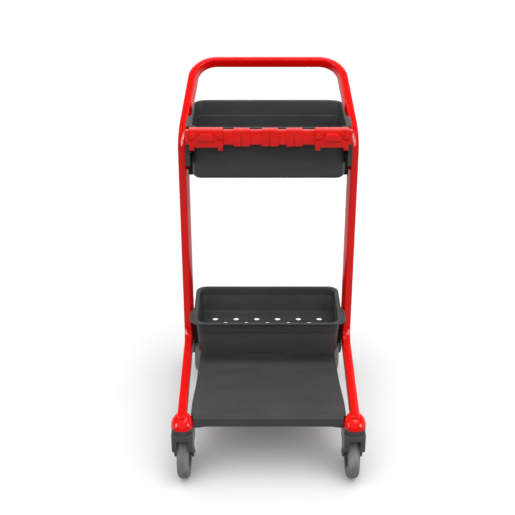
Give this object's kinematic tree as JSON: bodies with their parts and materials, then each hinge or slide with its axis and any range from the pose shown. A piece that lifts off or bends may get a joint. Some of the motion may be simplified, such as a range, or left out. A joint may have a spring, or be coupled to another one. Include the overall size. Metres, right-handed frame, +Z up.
{
  "type": "two-bin trolley",
  "caption": "Rigid tube-frame trolley with a handle loop, a bottom shelf, a pierced lower bin, a plain upper bin, a tool rail and hooded swivel castors.",
  "frame": {"origin": "on the floor under the middle of the bounding box", "axes": "+Z up, +Y from the front castors to the handle, +X to the right when facing +Y"},
  "size_m": [0.435, 0.575, 0.8567],
  "materials": {
    "red_paint": "gloss",
    "red_plastic": "satin",
    "grey_plastic": "fine texture",
    "black_plastic": "matte",
    "castor_plastic": "satin",
    "grey_tyre": "matte",
    "steel": "brushed"
  },
  "bodies": {
    "frame": {"frame_tube": "red_paint", "rear_leg_left": "red_paint", "rear_leg_right": "red_paint", "cup_front_left": "red_paint", "cup_front_right": "red_paint", "cup_rear_left": "red_paint", "cup_rear_right": "red_paint", "bottom_shelf": "grey_plastic", "upper_bracket_left": "black_plastic", "lower_bracket_left": "black_plastic", "rail_arm_left": "grey_plastic", "upper_bracket_right": "black_plastic", "lower_bracket_right": "black_plastic", "rail_arm_right": "grey_plastic", "tool_rail": "red_plastic", "hook_module_left": "red_plastic", "hook_module_right": "red_plastic", "tool_clip_left": "red_plastic", "tool_clip_middle": "red_plastic", "tool_clip_right": "red_plastic", "castor_stem_front_left": "steel", "castor_stem_front_right": "steel", "castor_stem_rear_left": "steel", "castor_stem_rear_right": "steel"},
    "castor_front_left": {"castor_fork_front_left": "castor_plastic", "axle_front_left": "steel"},
    "wheel_front_left": {"wheel_core_front_left": "castor_plastic", "tyre_front_left": "grey_tyre"},
    "castor_front_right": {"castor_fork_front_right": "castor_plastic", "axle_front_right": "steel"},
    "wheel_front_right": {"wheel_core_front_right": "castor_plastic", "tyre_front_right": "grey_tyre"},
    "castor_rear_left": {"castor_fork_rear_left": "castor_plastic", "axle_rear_left": "steel"},
    "wheel_rear_left": {"wheel_core_rear_left": "castor_plastic", "tyre_rear_left": "grey_tyre"},
    "castor_rear_right": {"castor_fork_rear_right": "castor_plastic", "axle_rear_right": "steel"},
    "wheel_rear_right": {"wheel_core_rear_right": "castor_plastic", "tyre_rear_right": "grey_tyre"},
    "upper_bin": {"upper_bin": "grey_plastic"},
    "lower_bin": {"lower_bin": "grey_plastic"}
  },
  "joints": [
    {"name": "swivel_front_left", "type": "hinge", "parent": "frame", "child": "castor_front_left", "pos_m": [-0.1925, -0.257, 0.15], "axis": [0, 0, 1], "continuous": true},
    {"name": "spin_front_left", "type": "hinge", "parent": "castor_front_left", "child": "wheel_front_left", "pos_m": [-0.1925, -0.225, 0.0625], "axis": [1, 0, 0], "continuous": true},
    {"name": "swivel_front_right", "type": "hinge", "parent": "frame", "child": "castor_front_right", "pos_m": [0.1925, -0.257, 0.15], "axis": [0, 0, 1], "continuous": true},
    {"name": "spin_front_right", "type": "hinge", "parent": "castor_front_right", "child": "wheel_front_right", "pos_m": [0.1925, -0.225, 0.0625], "axis": [1, 0, 0], "continuous": true},
    {"name": "swivel_rear_left", "type": "hinge", "parent": "frame", "child": "castor_rear_left", "pos_m": [-0.177, 0.193, 0.15], "axis": [0, 0, 1], "continuous": true},
    {"name": "spin_rear_left", "type": "hinge", "parent": "castor_rear_left", "child": "wheel_rear_left", "pos_m": [-0.177, 0.225, 0.0625], "axis": [1, 0, 0], "continuous": true},
    {"name": "swivel_rear_right", "type": "hinge", "parent": "frame", "child": "castor_rear_right", "pos_m": [0.177, 0.193, 0.15], "axis": [0, 0, 1], "continuous": true},
    {"name": "spin_rear_right", "type": "hinge", "parent": "castor_rear_right", "child": "wheel_rear_right", "pos_m": [0.177, 0.225, 0.0625], "axis": [1, 0, 0], "continuous": true},
    {"name": "upper_bin_lift", "type": "slide", "parent": "frame", "child": "upper_bin", "axis": [0, 0, 1], "range_m": [0, 0.15]},
    {"name": "lower_bin_lift", "type": "slide", "parent": "frame", "child": "lower_bin", "axis": [0, 0, 1], "range_m": [0, 0.15]}
  ]
}
